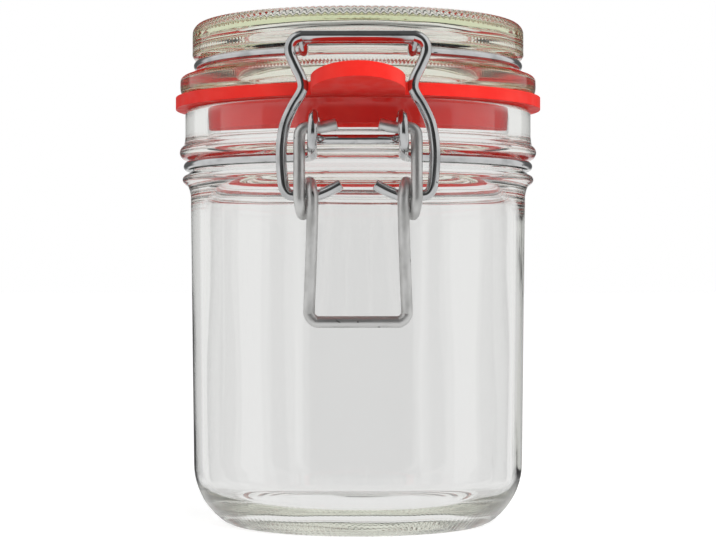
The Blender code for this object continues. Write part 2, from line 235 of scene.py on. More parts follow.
bright_wire_finish = make_wire_finish("bright drawn wire", WIRE_LIGHT, WIRE_GREY, WIRE_ROUGHNESS)
lever_wire_finish = make_wire_finish("duller lever wire", LEVER_LIGHT, LEVER_GREY, LEVER_ROUGHNESS)
print("made", bright_wire_finish.name, "and", lever_wire_finish.name)

# %% [markdown]
# ## Turned glass
#
# Jar and lid are pressed in turned moulds, so each is one outline spun round the axis. The outline is a
# list of (radius, height) corners, with `arc` for its round stretches and `straight` to add rows where
# the surface will be made uneven. Spinning many steps matters: glass shows every facet.

# %% Helpers for turned shapes
def arc(centre, radius, start, end, count):
    """Points of a round stretch, from one angle in degrees to another."""
    turns = [math.radians(start + (end - start) * i / (count - 1)) for i in range(count)]
    return [(centre[0] + radius * math.cos(turn), centre[1] + radius * math.sin(turn)) for turn in turns]


def straight(start, end, rows):
    """The points that cut a straight stretch into rows, without its two ends."""
    return [(start[0] + (end[0] - start[0]) * i / rows, start[1] + (end[1] - start[1]) * i / rows)
            for i in range(1, rows)]


def spun(profile, steps):
    """A bmesh turned about the z axis from a profile that runs from the axis back to the axis."""
    bm = bmesh.new()
    verts = [bm.verts.new((radius, 0.0, height)) for radius, height in profile]
    edges = [bm.edges.new(pair) for pair in zip(verts, verts[1:])]
    bmesh.ops.spin(bm, geom=verts + edges, cent=(0, 0, 0), axis=(0, 0, 1), angle=math.tau,
                   steps=steps, use_merge=True)
    bmesh.ops.remove_doubles(bm, verts=bm.verts, dist=1e-6)
    return bm


SHARP_ANGLE = 50


def finish_piece(bm, name, finish, node, body, sharp_angle=SHARP_ANGLE):
    """Puts a piece in its place, on its body, in place of its solid."""
    bmesh.ops.translate(bm, verts=bm.verts, vec=(0.0, AXIS_Y, 0.0))
    bmesh.ops.recalc_face_normals(bm, faces=bm.faces)
    mesh = bpy.data.meshes.new(name)
    bm.to_mesh(mesh)
    bm.free()
    mesh.materials.append(finish)
    mesh.shade_smooth()
    mesh.set_sharp_from_angle(angle=math.radians(sharp_angle))
    piece = bpy.data.objects.new(name, mesh)
    bpy.context.scene.collection.objects.link(piece)
    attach(piece, body)
    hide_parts(node)
    print(name, "has", len(mesh.polygons), "faces and stands for", node)
    return piece


# %% [markdown]
# ## The jar
#
# The outline goes from the middle of the inside floor up the wall, over the rim, down past the two
# beads with the wire's groove between them, and under the foot. The inside was shaped less exactly
# than the mould did the outside, so the inner wall gets the larger unevenness. The ring that the jar
# stands on has short slanted ridges, which keep the hot glass from sticking.

# %% Draw the jar's outline
NECK_RADIUS = 0.0378
MOUTH_RADIUS = 0.0334
BODY_RADIUS = 0.0366
BODY_FOOT_RADIUS = 0.0359
WALL = 0.0027
HEEL_RADIUS, HEEL_HEIGHT = 0.0152, 0.0130
INNER_HEEL_RADIUS = 0.0072
FLOOR_HEIGHT = 0.0043
INNER_WALL_TOP, MOUTH_FOOT, BODY_TOP = 0.0695, 0.0750, 0.0711
FOOT_RADIUS, FOOT_INNER_RADIUS, PUSH_UP = 0.0285, 0.0256, 0.0026
RIM_ROUNDING = 0.0009
BEAD_HEIGHT, BEAD_ROUNDING = 0.0805, 0.0016
LOWER_BEAD_RADIUS, LOWER_BEAD_HEIGHT, LOWER_BEAD_ROUNDING = 0.0384, 0.0746, 0.0010
NECK_RING_RADIUS, NECK_RING_HEIGHT, NECK_WIRE = 0.03715, 0.0775, 0.0010
GROOVE_CLEARANCE = 0.00035


def jar_outline():
    inner = BODY_RADIUS - WALL
    heel_top = FLOOR_HEIGHT + INNER_HEEL_RADIUS
    points = [(0.0, FLOOR_HEIGHT + 0.0007)]
    points += straight(points[-1], (0.0160, FLOOR_HEIGHT + 0.0004), 4)
    points += [(0.0160, FLOOR_HEIGHT + 0.0004), (0.0205, FLOOR_HEIGHT + 0.0001)]
    points += arc((inner - INNER_HEEL_RADIUS, heel_top), INNER_HEEL_RADIUS, -90, 0, 12)
    points += straight((inner, heel_top), (inner, INNER_WALL_TOP), 14)
    points += [(inner, INNER_WALL_TOP), (inner - 0.0001, 0.0712)]
    points += [(MOUTH_RADIUS + 0.0001, 0.0733), (MOUTH_RADIUS, MOUTH_FOOT)]
    rim = RIM_HEIGHT - RIM_ROUNDING
    points += straight((MOUTH_RADIUS, MOUTH_FOOT), (MOUTH_RADIUS, rim), 4)
    points += arc((MOUTH_RADIUS + RIM_ROUNDING, rim), RIM_ROUNDING, 180, 90, 6)
    points += arc((NECK_RADIUS - RIM_ROUNDING, rim), RIM_ROUNDING, 90, 0, 6)
    points += [(NECK_RADIUS, 0.0860), (NECK_RADIUS, 0.0838), (NECK_RADIUS + 0.00015, 0.0827)]
    points += arc((BEAD_RADIUS - BEAD_ROUNDING, BEAD_HEIGHT), BEAD_ROUNDING, 60, -60, 11)
    points += arc((NECK_RING_RADIUS, NECK_RING_HEIGHT), NECK_WIRE + GROOVE_CLEARANCE, 120, 240, 9)
    points += arc((LOWER_BEAD_RADIUS - LOWER_BEAD_ROUNDING, LOWER_BEAD_HEIGHT),
                  LOWER_BEAD_ROUNDING, 75, -60, 9)
    points += [(BODY_RADIUS + 0.00055, 0.0731), (BODY_RADIUS + 0.00025, 0.0723)]
    points += [(BODY_RADIUS, BODY_TOP)]
    points += straight((BODY_RADIUS, BODY_TOP), (BODY_FOOT_RADIUS, HEEL_HEIGHT), 14)
    points += arc((BODY_FOOT_RADIUS - HEEL_RADIUS, HEEL_HEIGHT), HEEL_RADIUS, 0, -55, 12)
    points += [(FOOT_RADIUS + 0.0001, 0.0003), (FOOT_RADIUS - 0.0003, 0.0)]
    points += [(FOOT_INNER_RADIUS + 0.0004, 0.0), (FOOT_INNER_RADIUS, 0.0001)]
    points += [(FOOT_INNER_RADIUS - 0.0005, 0.0005)]
    points += [(FOOT_INNER_RADIUS - 0.0014, 0.0009), (0.0190, PUSH_UP - 0.0007), (0.0100, PUSH_UP - 0.0002)]
    return points + [(0.0, PUSH_UP)]


print("the jar's outline has", len(jar_outline()), "points")

# %% Spin the jar, and make it uneven
JAR_STEPS = 640
FOOT_RIDGES = 160
RIDGE_DEPTH = 0.00014
RIDGE_SLANT = 900.0
RIDGES_END, RIDGE_FADE_START, RIDGE_FADE_LENGTH = 0.0042, 0.0018, 0.0022
INNER_WAVE, OUTER_WAVE, FLOOR_WAVE = 0.00016, 0.00003, 0.00025
WAVES_ROUND, WAVES_UP = 2.6, 34.0
INNER_WALL_LIMIT = 0.0342
INNER_WALL_START = FLOOR_HEIGHT + 0.0015
OUTER_WALL_START, OUTER_WALL_LIMIT = 0.004, 0.030


def wave(turn, height, seed):
    """A slow unevenness of pressed glass, from -1 to 1, longer up the wall than round it."""
    return noise.noise(Vector((WAVES_ROUND * math.cos(turn), WAVES_ROUND * math.sin(turn),
                               WAVES_UP * height + seed)))


def make_jar_uneven(bm):
    for vert in bm.verts:
        radius = math.hypot(vert.co.x, vert.co.y)
        turn = math.atan2(vert.co.y, vert.co.x)
        inside = vert.co.z > FLOOR_HEIGHT - 0.0005 and radius < INNER_WALL_LIMIT
        if inside and vert.co.z > INNER_WALL_START:
            reach = (radius + INNER_WAVE * wave(turn, vert.co.z, 3.0)) / radius
            vert.co.x *= reach
            vert.co.y *= reach
        elif inside:
            vert.co.z += FLOOR_WAVE * noise.noise(vert.co * 90.0)
        elif vert.co.z > OUTER_WALL_START and radius > OUTER_WALL_LIMIT:
            reach = (radius + OUTER_WAVE * wave(turn, vert.co.z, 11.0)) / radius
            vert.co.x *= reach
            vert.co.y *= reach


def press_foot_ridges(bm):
    """Short slanted ridges round the ring that the jar stands on, fading out up the heel."""
    for vert in bm.verts:
        radius = math.hypot(vert.co.x, vert.co.y)
        if vert.co.z < RIDGES_END and radius > FOOT_RADIUS - 0.0002:
            fade = 1.0 - min(1.0, max(0.0, (vert.co.z - RIDGE_FADE_START) / RIDGE_FADE_LENGTH))
            phase = FOOT_RIDGES * math.atan2(vert.co.y, vert.co.x) + RIDGE_SLANT * vert.co.z
            push = RIDGE_DEPTH * fade * (0.5 + 0.5 * math.sin(phase))
            vert.co.x *= 1.0 - push / radius
            vert.co.y *= 1.0 - push / radius
            vert.co.z += 0.5 * push


jar_bm = spun(jar_outline(), JAR_STEPS)
make_jar_uneven(jar_bm)
press_foot_ridges(jar_bm)
finish_piece(jar_bm, "clear_jar", jar_glass_finish, "jar_glass", "jar")

# %% [markdown]
# ## The lid
#
# The lid is one thick pressing: a round block with a groove for its wire, a flange that presses on the
# rubber, and a plug that drops into the jar's mouth. The mould was cut with fine flutes round its top
# edge and finer ones on the flange, so that a wet hand can hold it. They are real relief here, because
# they show in the outline: flutes on the top edge are four spin steps wide, those on the flange two.

# %% Draw the lid's outline
LID_RADIUS = 0.03625
LID_EDGE_ROUNDING = 0.0024
LID_SIDE_BOTTOM = 0.1016
LID_RECESS = 0.0004
LID_RING_RADIUS, LID_RING_HEIGHT, LID_WIRE = 0.0350, 0.0994, 0.00097
FLANGE_TOP, FLANGE_BOTTOM, FLANGE_ROUNDING = 0.0971, 0.09275, 0.0013
PLUG_RADIUS, PLUG_FOOT_RADIUS = 0.0320, 0.0311
HOLLOW_RADIUS, HOLLOW_TOP, HOLLOW_ROUNDING = 0.0272, 0.1064, 0.0035


def lid_outline():
    recess = LID_TOP - LID_RECESS
    points = [(0.0, recess)] + straight((0.0, recess), (0.0305, recess), 5) + [(0.0305, recess)]
    points += [(0.0312, recess + 0.0001), (0.0318, LID_TOP - 0.0002), (0.0324, LID_TOP)]
    edge = LID_TOP - LID_EDGE_ROUNDING
    points += arc((LID_RADIUS - LID_EDGE_ROUNDING, edge), LID_EDGE_ROUNDING, 90, 0, 8)
    points += straight((LID_RADIUS, edge), (LID_RADIUS, LID_SIDE_BOTTOM), 7)
    points += [(LID_RADIUS, LID_SIDE_BOTTOM), (LID_RADIUS - 0.0004, 0.1010)]
    points += arc((LID_RING_RADIUS, LID_RING_HEIGHT), LID_WIRE + GROOVE_CLEARANCE, 110, 250, 10)
    points += [(0.0356, FLANGE_TOP + 0.0007), (0.0366, FLANGE_TOP + 0.0005), (0.0372, FLANGE_TOP + 0.0002)]
    points += arc((FLANGE_RADIUS - FLANGE_ROUNDING, FLANGE_TOP - FLANGE_ROUNDING),
                  FLANGE_ROUNDING, 80, 0, 8)
    points += [(FLANGE_RADIUS, 0.0945), (FLANGE_RADIUS - 0.0001, FLANGE_BOTTOM + 0.0010)]
    points += [(FLANGE_RADIUS - 0.0004, FLANGE_BOTTOM + 0.0003), (FLANGE_RADIUS - 0.0010, FLANGE_BOTTOM)]
    points += [(PLUG_RADIUS + 0.0010, FLANGE_BOTTOM), (PLUG_RADIUS + 0.0002, FLANGE_BOTTOM - 0.0002)]
    points += [(PLUG_RADIUS, FLANGE_BOTTOM - 0.0008), (PLUG_FOOT_RADIUS + 0.0002, PLUG_BOTTOM + 0.0012)]
    points += [(PLUG_FOOT_RADIUS - 0.0002, PLUG_BOTTOM + 0.0004), (PLUG_FOOT_RADIUS - 0.0008, PLUG_BOTTOM)]
    points += [(HOLLOW_RADIUS + 0.0014, PLUG_BOTTOM), (HOLLOW_RADIUS + 0.0005, PLUG_BOTTOM + 0.0005)]
    points += [(HOLLOW_RADIUS, PLUG_BOTTOM + 0.0014)]
    wall_top = HOLLOW_TOP - HOLLOW_ROUNDING
    points += straight(points[-1], (HOLLOW_RADIUS, wall_top), 4)
    points += arc((HOLLOW_RADIUS - HOLLOW_ROUNDING, wall_top), HOLLOW_ROUNDING, 0, 90, 9)
    return points + [(0.0140, HOLLOW_TOP + 0.0002), (0.0, HOLLOW_TOP + 0.0003)]


print("the lid's outline has", len(lid_outline()), "points")

# %% Spin the lid, and press its flutes
LID_STEPS = 600
TOP_FLUTES = 150
FLANGE_FLUTES = 300
TOP_FLUTE_DEPTH = 0.00030
TOP_FLUTE_LENGTH, TOP_FLUTE_INNER_RADIUS = 0.0022, 0.0335
TOP_FLUTE_RUN_OUT, TOP_FLUTE_RUN_IN = 0.0012, 0.0008
FLANGE_FLUTE_DEPTH = 0.00030
FLANGE_FLUTE_INNER_RADIUS = 0.0362
HOLLOW_WAVE = 0.00018


def press_lid_flutes(bm):
    for vert in bm.verts:
        radius = math.hypot(vert.co.x, vert.co.y)
        turn = math.atan2(vert.co.y, vert.co.x)
        if vert.co.z > LID_TOP - TOP_FLUTE_LENGTH and radius > TOP_FLUTE_INNER_RADIUS:
            rise = min(1.0, (vert.co.z - LID_TOP + TOP_FLUTE_LENGTH) / TOP_FLUTE_RUN_OUT)
            fade = rise * min(1.0, (radius - TOP_FLUTE_INNER_RADIUS) / TOP_FLUTE_RUN_IN)
            push = TOP_FLUTE_DEPTH * fade * (0.5 - 0.5 * math.cos(TOP_FLUTES * turn))
            vert.co.x *= 1.0 - push / radius
            vert.co.y *= 1.0 - push / radius
            vert.co.z -= 0.6 * push
        elif (FLANGE_TOP - 0.0010 < vert.co.z < FLANGE_TOP + 0.0006
              and radius > FLANGE_FLUTE_INNER_RADIUS):
            push = FLANGE_FLUTE_DEPTH * (0.5 - 0.5 * math.cos(FLANGE_FLUTES * turn))
            vert.co.z -= push
            vert.co.x *= 1.0 - 0.5 * push / radius
            vert.co.y *= 1.0 - 0.5 * push / radius


def make_lid_uneven(bm):
    for vert in bm.verts:
        radius = math.hypot(vert.co.x, vert.co.y)
        if vert.co.z < HOLLOW_TOP + 0.001 and radius < HOLLOW_RADIUS + 0.0005:
            vert.co.z += HOLLOW_WAVE * noise.noise(vert.co * 110.0)


lid_bm = spun(lid_outline(), LID_STEPS)
press_lid_flutes(lid_bm)
make_lid_uneven(lid_bm)
finish_piece(lid_bm, "clear_lid", lid_glass_finish, "lid_glass", "lid")

# %% [markdown]
# ## The rubber ring and its tab
#
# The ring is flat with a tongue in front, which you pull to let air in. It is modelled the way it is
# cut: a circle of edges is drawn inwards for the ring, its front edges are drawn outwards row by row
# for the tongue, the flat sheet is given its thickness, and then the tongue is bent up. A thin lip
# hangs down inside the jar's mouth: it is the red band that shows through the neck.
#
# Between rim and flange the real rubber is squeezed so hard that no air is left. The solids keep a gap
# of 0.3 mm there, so this piece fills it: its gripped part reaches a hair into the glass on both sides.

# %% Make the rubber ring
RUBBER_INNER_RADIUS = 0.0325
LIP_RADIUS, LIP_FOOT_RADIUS = 0.0331, 0.0329
RUBBER_BOTTOM, RUBBER_THICKNESS = 0.0899, 0.00255
TAB_HALF_WIDTH, TAB_SHOULDER, TAB_TIP = 0.0094, 0.0450, 0.0550
TAB_BEND_START, TAB_LIFT, TAB_THICKNESS = 0.0410, 0.0024, 0.0030
TAB_COLUMNS, TAB_ROWS, RING_COLUMNS = 36, 14, 216
RUBBER_ROUNDING = 0.00022
GRIP, GRIP_RADIUS, GRIP_OUTER_RADIUS = 0.00038, 0.0368, 0.0373


def tab_front(x, row):
    """Distance in front of the axis of a point of the tab, row 0 on the ring's edge."""
    root = math.sqrt(RUBBER_RADIUS ** 2 - x ** 2)
    tip = TAB_SHOULDER + (TAB_TIP - TAB_SHOULDER) * math.sqrt(max(0.0, 1 - (x / TAB_HALF_WIDTH) ** 2))
    return root + (tip - root) * row / TAB_ROWS


def ring_turns():
    """Angles of the ring's columns, close together in front, where the tab's corners are round."""
    half_tab = math.asin(TAB_HALF_WIDTH / RUBBER_RADIUS)
    across = [math.sin(math.pi * (i / TAB_COLUMNS - 0.5)) for i in range(TAB_COLUMNS + 1)]
    turns = [math.asin(TAB_HALF_WIDTH * share / RUBBER_RADIUS) for share in across]
    rest = math.tau - 2 * half_tab
    return turns + [half_tab + rest * i / RING_COLUMNS for i in range(1, RING_COLUMNS)]


def new_verts(extruded):
    return [part for part in extruded["geom"] if isinstance(part, bmesh.types.BMVert)]


def flat_ring_with_tab():
    bm = bmesh.new()
    turns = ring_turns()
    circle = bmesh.ops.create_circle(bm, segments=len(turns), radius=RUBBER_RADIUS)["verts"]
    for vert, turn in zip(circle, turns):
        vert.co = (RUBBER_RADIUS * math.sin(turn), -RUBBER_RADIUS * math.cos(turn), 0.0)
    rim = list(bm.edges)
    tab = [edge for edge in rim
           if all(abs(v.co.x) < TAB_HALF_WIDTH + 1e-6 and v.co.y < 0 for v in edge.verts)]
    inwards = (0.0397, 0.0380, GRIP_OUTER_RADIUS, GRIP_RADIUS, 0.0345, LIP_RADIUS, LIP_FOOT_RADIUS)
    for radius in inwards + (RUBBER_INNER_RADIUS,):
        inner = bmesh.ops.extrude_edge_only(bm, edges=rim)
        for vert in new_verts(inner):
            vert.co *= radius / vert.co.length
        rim = [part for part in inner["geom"] if isinstance(part, bmesh.types.BMEdge)]
    for row in range(1, TAB_ROWS + 1):
        outer = bmesh.ops.extrude_edge_only(bm, edges=tab)
        for vert in new_verts(outer):
            vert.co.y = -tab_front(vert.co.x, row)
        tab = [part for part in outer["geom"] if isinstance(part, bmesh.types.BMEdge)]
    bmesh.ops.recalc_face_normals(bm, faces=bm.faces)
    return bm


def thicken_and_bend(bm):
    lower = list(bm.verts)
    upper = new_verts(bmesh.ops.extrude_face_region(bm, geom=bm.faces[:]))
    middle = RUBBER_BOTTOM + RUBBER_THICKNESS / 2
    for verts, side in ((lower, -0.5), (upper, 0.5)):
        for vert in verts:
            bend = max(0.0, (-vert.co.y - TAB_BEND_START) / (TAB_TIP - TAB_BEND_START))
            thickness = RUBBER_THICKNESS + (TAB_THICKNESS - RUBBER_THICKNESS) * bend
            gripped = math.hypot(vert.co.x, vert.co.y) < GRIP_RADIUS + 0.0001
            thickness += 2 * GRIP if gripped else 0.0
            vert.co.z = middle + TAB_LIFT * bend ** 1.5 + side * thickness
    for vert in lower:
        if math.hypot(vert.co.x, vert.co.y) < LIP_RADIUS - 0.0001:
            vert.co.z = LIP_BOTTOM


rubber_bm = flat_ring_with_tab()
thicken_and_bend(rubber_bm)
rubber_piece = finish_piece(rubber_bm, "seal_ring", rubber_finish, "rubber_ring", "jar")
rounding = rubber_piece.modifiers.new("Rounded edges", "BEVEL")
rounding.width = RUBBER_ROUNDING
rounding.segments = 3
rounding.limit_method = "ANGLE"
rounding.angle_limit = math.radians(SHARP_ANGLE)
rounding.harden_normals = False

# %% [markdown]
# ## Bent wires
#
# Each wire follows the route of its solid, repeated here in metres as (x, distance in front of the
# axis, height), but read from the curve many times more often. A circle is drawn along the route: at
# each step the last circle's edges are extruded and carried to the next station. The stations turn
# with the route and never about it, so the surface doesn't twist. Each cut end has a small chamfer.

# %% Helpers for wires
POINTS_PER_SPAN = 7
WIRE_SIDES = 20
CHAMFER = ((0.0, 0.00016), (0.00012, 0.00002), (0.00026, 0.0))
WIRE_LEAVES_GROOVE_X = 0.0140
RING_STEP_DEGREES = 2.0
CLOSEST_STATIONS = 0.00012
WIRE_SHARP_ANGLE = 40


def smooth_path(points):
    """A smooth curve through the points, read often enough to look round."""
    ends = [points[0]] + list(points) + [points[-1]]
    path = []
    for a, b, c, d in zip(ends, ends[1:], ends[2:], ends[3:]):
        a, b, c, d = Vector(a), Vector(b), Vector(c), Vector(d)
        for i in range(POINTS_PER_SPAN):
            t = i / POINTS_PER_SPAN
            path.append(0.5 * (2 * b + (c - a) * t + (2 * a - 5 * b + 4 * c - d) * t * t
                               + (3 * b - a - 3 * c + d) * t ** 3))
    return path + [Vector(points[-1])]


def mirrored(half):
    """Both halves of a wire, from the mirror image's end through the middle to the half's own end."""
    other = [Vector((-point.x, point.y, point.z)) for point in half if abs(point.x) > 1e-9]
    return other[::-1] + half


def ring_side(radius, height, start_x, end_x):
    """Half a ring round the axis, from start_x at the front to end_x at the back."""
    start = math.degrees(math.asin(start_x / radius))
    end = 180 - math.degrees(math.asin(end_x / radius))
    count = round((end - start) / RING_STEP_DEGREES) + 1
    turns = [math.radians(start + (end - start) * i / (count - 1)) for i in range(count)]
    return [Vector((radius * math.sin(turn), radius * math.cos(turn), height)) for turn in turns]


def even_path(path, closed):
    """The same line in metres with y pointing back, without points that nearly coincide."""
    spots = [Vector((point.x, -point.y, point.z)) for point in path]
    kept = [spots[0]]
    for spot in spots[1:]:
        if (spot - kept[-1]).length > CLOSEST_STATIONS:
            kept.append(spot)
    if closed and (kept[-1] - kept[0]).length < CLOSEST_STATIONS:
        kept.pop()
    return kept


def stations(spots, closed):
    """A placing matrix for each point of the line, turned with it but never about it."""
    placed = []
    across = Vector((0.0, 0.0, 1.0))
    for i, spot in enumerate(spots):
        after = spots[(i + 1) % len(spots)] if closed or i + 1 < len(spots) else spot
        before = spots[i - 1] if closed or i > 0 else spot
        along = (after - before).normalized()
        if i == 0 and abs(along.z) > 0.9:
            across = Vector((0.0, 1.0, 0.0))
        across = (across - along * across.dot(along)).normalized()
        side = along.cross(across)
        turn = Matrix((across, side, along)).transposed().to_4x4()
        placed.append(Matrix.Translation(spot) @ turn)
    return placed


def with_cut_ends(spots):
    """Adds the stations of a chamfer at both ends, and gives each station how much thinner it is."""
    line = [(spot, 0.0) for spot in spots]
    for end in (0, -1):
        tip, inner = spots[end], spots[1 if end == 0 else -2]
        way = (inner - tip).normalized()
        extra = [(tip + way * back, thinner) for back, thinner in CHAMFER]
        line = extra + line[1:] if end == 0 else line[:-1] + extra[::-1]
    return [spot for spot, thinner in line], [thinner for spot, thinner in line]


def swept_wire(path, radius, closed=False):
    """A bmesh of a round wire along the path, with its unbent coordinates in an attribute."""
    spots = even_path(path, closed)
    thinning = [0.0] * len(spots)
    if not closed:
        spots, thinning = with_cut_ends(spots)
    placed = stations(spots, closed)
    bm = bmesh.new()
    unbent = bm.verts.layers.float_vector.new("unbent")
    ring = bmesh.ops.create_circle(bm, cap_ends=not closed, segments=WIRE_SIDES,
                                   radius=radius - thinning[0], matrix=placed[0])["verts"]
    first_edges = list({edge for vert in ring for edge in vert.link_edges})
    edges, along = first_edges, 0.0
    for i, here in enumerate(placed):
        if i > 0:
            drawn = bmesh.ops.extrude_edge_only(bm, edges=edges)["geom"]
            ring = [part for part in drawn if isinstance(part, bmesh.types.BMVert)]
            edges = [part for part in drawn if isinstance(part, bmesh.types.BMEdge)]
            thinner = (radius - thinning[i]) / (radius - thinning[i - 1])
            scaled = here @ Matrix.Diagonal((thinner, thinner, 1.0, 1.0)) @ placed[i - 1].inverted()
            bmesh.ops.transform(bm, matrix=scaled, verts=ring)
            along += (spots[i] - spots[i - 1]).length
        back = here.inverted()
        for vert in ring:
            section = back @ vert.co
            vert[unbent] = (section.x, section.y, along)
    if closed:
        bmesh.ops.bridge_loops(bm, edges=edges + first_edges)
    else:
        bmesh.ops.edgeloop_fill(bm, edges=edges)
    return bm


print("a wire has", WIRE_SIDES, "sides")

# %% [markdown]
# ## The ring round the neck
#
# One wire lies in the jar's groove. In front it turns out and up into two eyes for the lever's pins,
# joined by a crossbar, and at the back into two more for the lid's hinge.

# %% Bend the neck wire
EYE_CENTRE, EYE_RADIUS, EYE_OUTER_X, EYE_INNER_X = (0.0430, 0.0820), 0.00355, 0.0091, 0.0085
HINGE_EYE_CENTRE, HINGE_EYE_RADIUS = (0.0445, 0.0877), 0.0026
CROSSBAR = (0.04035, 0.0808)


def eye_path(centre, radius, start, end, rise, fall):
    """One eye, from the groove up its outer side, over and down to the crossbar."""
    level = NECK_RING_HEIGHT
    out_of_groove = [(0.0116, 0.0356, level), (0.0104, 0.0370, level), (0.0096, 0.0388, level),
                     (EYE_OUTER_X, 0.0412, level + 0.0002)]
    curve = arc(centre, radius, start, end, 9)
    step_in = (EYE_INNER_X - EYE_OUTER_X) / (len(curve) - 1)
    over = [(EYE_OUTER_X + step_in * i, front, height) for i, (front, height) in enumerate(curve)]
    front, height = CROSSBAR
    to_crossbar = [(0.0079, front - 0.0005, height + 0.0002), (0.0068, front - 0.0001, height),
                   (0.0054, front, height), (0.0, front, height)]
    return smooth_path(out_of_groove + rise + over + fall + to_crossbar)


def neck_wire_path():
    front = eye_path(EYE_CENTRE, EYE_RADIUS, -60, 180, [(EYE_OUTER_X, 0.0431, 0.0783)], [])
    rise = [(EYE_OUTER_X, 0.0445, 0.0785), (EYE_OUTER_X, 0.0466, 0.0805), (EYE_OUTER_X, 0.0471, 0.0840)]
    fall = [(EYE_INNER_X, 0.0419, 0.0845), (EYE_INNER_X, 0.0412, 0.0820)]
    back = eye_path(HINGE_EYE_CENTRE, HINGE_EYE_RADIUS, 0, 180, rise, fall)
    back = [Vector((point.x, -point.y, point.z)) for point in back]
    side = ring_side(NECK_RING_RADIUS, NECK_RING_HEIGHT, WIRE_LEAVES_GROOVE_X, WIRE_LEAVES_GROOVE_X)
    half = front[::-1] + side + back
    left = [Vector((-point.x, point.y, point.z)) for point in half[1:-1]]
    return half + left[::-1]


neck_bm = swept_wire(neck_wire_path(), NECK_WIRE, closed=True)
finish_piece(neck_bm, "neck_wire", bright_wire_finish, "neck_ring", "jar", WIRE_SHARP_ANGLE)

# %% [markdown]
# ## The ring round the lid
#
# A second wire lies in the lid's groove. In front it steps out and up into a short bar, which the bail
# pulls on. At the back it runs down to two pins that turn in the neck wire's rear eyes.

# %% Bend the lid wire
LID_HINGE_FRONT, LID_HINGE_HEIGHT = -0.0445, 0.0880
HINGE_LEG_X = 0.0115


def lid_wire_path():
    bar = (0.0406, 0.1009)
    staple = [(0.0, *bar), (0.0045, *bar), (0.0090, *bar), (0.0102, 0.04045, 0.10075),
              (0.01085, 0.0399, 0.1002), (0.0109, 0.0390, 0.0993), (0.0109, 0.0378, 0.09875),
              (0.0109, 0.0362, 0.0988), (0.0112, 0.0344, 0.0992), (0.0124, 0.0329, LID_RING_HEIGHT)]
    side = ring_side(LID_RING_RADIUS, LID_RING_HEIGHT, WIRE_LEAVES_GROOVE_X, WIRE_LEAVES_GROOVE_X)
    x, front, height = HINGE_LEG_X, LID_HINGE_FRONT, LID_HINGE_HEIGHT
    leg = [(0.0122, -0.0334, 0.0995), (x, -0.0350, 0.09975), (x, -0.0370, 0.0997), (x, -0.0395, 0.0988),
           (x, -0.0418, 0.0967), (x, -0.0435, 0.0936), (x, front + 0.0001, 0.0902),
           (x - 0.00015, front, 0.0890), (x - 0.00065, front, height + 0.0003), (0.0100, front, height),
           (0.0068, front, height)]
    return mirrored(smooth_path(staple) + side + smooth_path(leg))


lid_wire_bm = swept_wire(lid_wire_path(), LID_WIRE)
finish_piece(lid_wire_bm, "lid_wire", bright_wire_finish, "lid_ring", "lid", WIRE_SHARP_ANGLE)

# %% [markdown]
# ## The lever
#
# You pull on the lever. Its two cut ends turn in the front eyes, its legs wind into one coil each, and
# its lower part is a plain rectangle for the thumb, with tight round corners.

# %% Bend the lever
LEVER_WIRE = 0.001175
LEVER_PIVOT = (0.0430, 0.0830)
COIL_CENTRE, COIL_RADIUS, COIL_OUTER_X, COIL_INNER_X = (0.0410, 0.0690), 0.0032, 0.01165, 0.0090
COIL_STATIONS = 48
HANDLE_X, HANDLE_FRONT, HANDLE_HEIGHT, HANDLE_CORNER = 0.0098, 0.0390, 0.0443, 0.0020


def lever_path():
    front, height = LEVER_PIVOT
    pin = [(0.0042, front, height + 0.0007), (0.0074, front, height), (0.0100, front, height),
           (0.01115, front + 0.0001, height - 0.0005), (COIL_OUTER_X, front + 0.0002, height - 0.0018),
           (COIL_OUTER_X, 0.0436, 0.0765), (COIL_OUTER_X, 0.0441, 0.0720)]
    coil = []
    for i in range(COIL_STATIONS + 1):
        share = i / COIL_STATIONS
        turn = -math.tau * share
        coil.append(Vector((COIL_OUTER_X + (COIL_INNER_X - COIL_OUTER_X) * share,
                            COIL_CENTRE[0] + COIL_RADIUS * math.cos(turn),
                            COIL_CENTRE[1] + COIL_RADIUS * math.sin(turn))))
    handle = [(COIL_INNER_X, 0.0441, 0.0665), (0.00915, 0.0432, 0.0620), (0.00945, 0.0413, 0.0545),
              (0.0097, 0.0397, 0.0490)]
    corner = arc((HANDLE_X - HANDLE_CORNER, HANDLE_HEIGHT + HANDLE_CORNER), HANDLE_CORNER, 0, -90, 6)
    handle += [(across, HANDLE_FRONT + 0.05 * (up - HANDLE_HEIGHT), up) for across, up in corner]
    handle.append((0.0, HANDLE_FRONT, HANDLE_HEIGHT))
    half = smooth_path(pin) + coil + smooth_path(handle)
    return mirrored(half[::-1])


lever_bm = swept_wire(lever_path(), LEVER_WIRE)
finish_piece(lever_bm, "lever_wire", lever_wire_finish, "lever", "lever", WIRE_SHARP_ANGLE)

# %% [markdown]
# ## The bail
#
# The bail hangs in the lever's coils. Seen from the front it is a keyhole: wide lobes below, a narrow
# waist at the rubber's tab, and smaller lobes above. On the real jar its top is hooked behind the lid's
# bar. Here it rests half a millimetre in front of that bar, so that lid and lever can each move alone.

# %% Bend the bail
BAIL_WIRE = 0.001125
BAIL_PIVOT = (0.0410, 0.0696)
BAIL_TOP = (0.0432, 0.1012)


